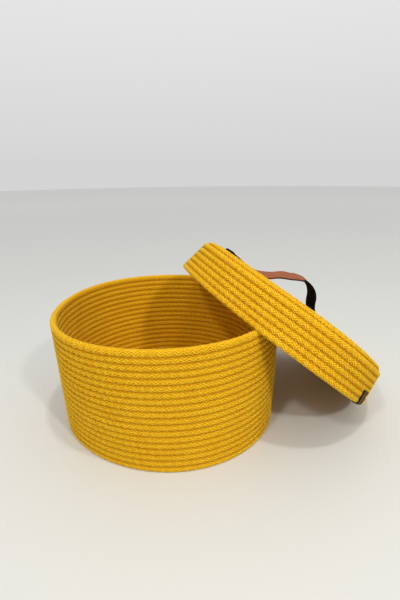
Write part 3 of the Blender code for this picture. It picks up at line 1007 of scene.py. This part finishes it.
def sleeve_piece(name, path, start, end):
    """A sleeve: its outside from end to end, then its bore back again, welded into one closed ring."""
    bore = STRAP_THICKNESS + 2 * GAP
    outer = band_columns(GRIP_WIDTH, GRIP_DEPTH, 32, 4.5)
    inner = band_columns(STRAP_WIDTH + 2 * GAP, bore, 32, 4.5)
    inside_edges = np.arange(start + 1 * MM, end - 0.5 * MM, 1 * MM)
    outside = np.concatenate([[start, start + 0.25 * MM], inside_edges, [end - 0.25 * MM, end]])
    lengths = np.concatenate([outside, outside[::-1], outside[:1]])
    share = np.concatenate([np.ones(len(outside)), np.zeros(len(outside)), [1]])
    rounding = ease((np.minimum(lengths - start, end - lengths)) / EDGE_ROUNDING)
    share = share * (EDGE_THICKNESS + (1 - EDGE_THICKNESS) * rounding)

    def section(ring, column):
        part = share[ring]
        return (inner[0][column] * (1 - part) + outer[0][column] * part,
                inner[1][column] * (1 - part) + outer[1][column] * part)

    return rolled_piece(name, path, lengths, outer[2] / MM, section, leather, joined=True)


sleeve = sleeve_piece("leather_grip", loop, GRIP_START, GRIP_END)
print(f"leather {(GRIP_END - GRIP_START) / MM:.0f} mm long,", triangle_count(sleeve), "triangles")

# %% [markdown]
# Stitches by hand
#
# The thread that shuts the grip and holds the sewn ends shows as short single stitches. They could be
# dashes in the material, but real ones stand out of the cloth and catch the light. So each is a small
# sphere, stretched along the seam and pressed flat on the face.

# %% Stitches one by one
STITCH_FLATNESS = 0.7
GRIP_INSET = 3.0 * MM
GRIP_PITCH = 3.4 * MM
SEAM_STANDOFF = 0.1 * MM
BOX_INSET = 3.0 * MM
BOX_PITCH = 2.4 * MM
BOX_STANDOFF = 0.05 * MM


def stitches(name, spots, length, radius):
    """A row of thread stitches. Each spot is a place, the direction of the stitch and the cloth's face."""
    form = bmesh.new()
    for place, along, face in spots:
        stitch = bmesh.ops.create_uvsphere(form, u_segments=8, v_segments=6, radius=1.0)["verts"]
        turned = Matrix((along, np.cross(face, along), face)).transposed().to_4x4()
        sized = Matrix.Diagonal((length / 2, radius, radius * STITCH_FLATNESS, 1))
        bmesh.ops.transform(form, matrix=Matrix.Translation(place) @ turned @ sized, verts=stitch)
    for face in form.faces:
        face.smooth = True
    return mesh_object(name, form, black_thread)


def row_of_spots(path, start, end, out, pitch):
    """Spots at an even pitch along a path, above its face or, below 0, beneath it."""
    count = max(2, int(round((end - start) / pitch)))
    lengths = start + (np.arange(count) + 0.5) * (end - start) / count
    place, side, face = path.at(lengths)
    ahead = path.at(lengths + 0.1 * MM)[0] - path.at(lengths - 0.1 * MM)[0]
    ahead /= np.linalg.norm(ahead, axis=1)[:, None]
    return list(zip(place + face * out, ahead, np.cross(ahead, side)))


UNDERSIDE = -(GRIP_DEPTH / 2 + SEAM_STANDOFF)
spots = row_of_spots(loop, GRIP_START + GRIP_INSET, GRIP_END - GRIP_INSET, UNDERSIDE, GRIP_PITCH)
grip_seam = stitches("grip_seam", spots, length=2.7 * MM, radius=0.42 * MM)
print(len(spots), "stitches in the grip")

# %% Boxes of stitches
def box_of_stitches(name, inner, side, height):
    """A square of stitches that holds a folded end to the lid."""
    near, far = inner + side * BOX_INSET / MM, inner + side * (TAB_LENGTH - BOX_INSET) / MM
    half = (STRAP_WIDTH / 2 - BOX_INSET) / MM
    corners = [(near, -half), (far, -half), (far, half), (near, half)]
    spots = []
    for first, second in zip(corners, corners[1:] + corners[:1]):
        ends = carried(np.array([(*first, height), (*second, height)]) * MM, strap_matrix)
        up = np.array(strap_matrix.to_3x3() @ Vector((0, 0, 1)))
        along = (ends[1] - ends[0]) / np.linalg.norm(ends[1] - ends[0])
        count = int(round(np.linalg.norm(ends[1] - ends[0]) / BOX_PITCH))
        for index in range(count):
            spots.append((ends[0] + (ends[1] - ends[0]) * (index + 0.5) / count, along, up))
    return stitches(name, spots, length=2.0 * MM, radius=0.40 * MM)


above = (STRAP_THICKNESS / 2 + BOX_STANDOFF) / MM
upper_box = box_of_stitches("tab_stitches_upper", strap_places[0][0], -1, strap_places[0][2] + above)
lower_box = box_of_stitches("tab_stitches_lower", strap_places[-1][0], 1, strap_places[-1][2] + above)
print("boxes of stitches:", triangle_count(upper_box), "and", triangle_count(lower_box), "triangles")

# %% [markdown]
# The label
#
# A short woven ribbon is folded over the lid's edge rope, so one flap lies outside the lid and one inside.
# It could be a cloth laid over the rope, but its fold is known. So it is a band whose path goes down,
# round the rope and up again.

# %% The folded label
LABEL_AZIMUTH = radians(-65.0)
LABEL_FLAP = 14.0 * MM
LABEL_STANDOFF = 4.45 * MM
LABEL_TUCK = 0.35 * MM
CLEAR_SHARE, TUCKED_SHARE = 0.3, 0.62


def label_path():
    lean = radians(LID_SIDE_LEAN)
    turns = lean - np.linspace(0, pi, 13)
    places = [lid_edge_row + np.array([cos(turn), sin(turn)]) * LABEL_STANDOFF for turn in turns]
    up = np.array([-sin(lean), cos(lean)]) * LABEL_FLAP
    tucked = np.array([-cos(lean), -sin(lean)]) * LABEL_TUCK
    outside, inside = places[0], places[-1]
    profile = [outside + up, outside + TUCKED_SHARE * up + tucked, outside + CLEAR_SHARE * up, *places,
               inside + CLEAR_SHARE * up, inside + TUCKED_SHARE * up - tucked, inside + up]
    profile = smooth_curve(profile, 6)
    points = lid_shape(np.full(len(profile), LABEL_AZIMUTH), profile[:, 0], profile[:, 1])
    sideways = np.zeros_like(points) + (-sin(LABEL_AZIMUTH), cos(LABEL_AZIMUTH), 0)
    turned = np.array(lid_matrix.to_3x3())
    return Path(carried(points, lid_matrix), sideways @ turned.T)


ribbon = label_path()
label = band_piece("folded_label", ribbon, 0.0, ribbon.total(), LABEL_WIDTH, LABEL_THICKNESS,
                   label_ribbon, 0.6 * MM)
print(f"label {ribbon.total() / MM:.1f} mm long")

# %% [markdown]
# Bodies and joints
#
# The lid lifts off the basket, and the grip is raised with the webbing above it. Each piece rides on one
# of these bodies and takes the place of the plain solids that it dresses. The joints could be written
# here again, but the frame has them already. The upper run of webbing, whose foot is on the lid and whose
# other end is at the grip, is not put on a body: it stays where it lies, in place of its plain solid.

# %% What each piece rides on, and what it stands for
dressed = ((lower_run, "lid", "webbing", "strap_lower"), (middle_run, "handle", "webbing", "strap_middle"),
           (sleeve, "handle", "leather", "grip"), (grip_seam, "handle", "thread", "grip_stitching"),
           (upper_tab, "lid", "webbing", "strap_tab_upper"), (lower_tab, "lid", "webbing", "strap_tab_lower"),
           (upper_box, "lid", "thread", "tab_stitching_upper"),
           (lower_box, "lid", "thread", "tab_stitching_lower"), (label, "lid", "label", "label"))
for piece, body, slot, node in dressed:
    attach(piece, body)
    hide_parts(node)

foot = loop.at(2.0 * MM)[0]
grip_top = loop.at(GRIP_START)[0]
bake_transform(upper_run)
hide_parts("strap_upper")
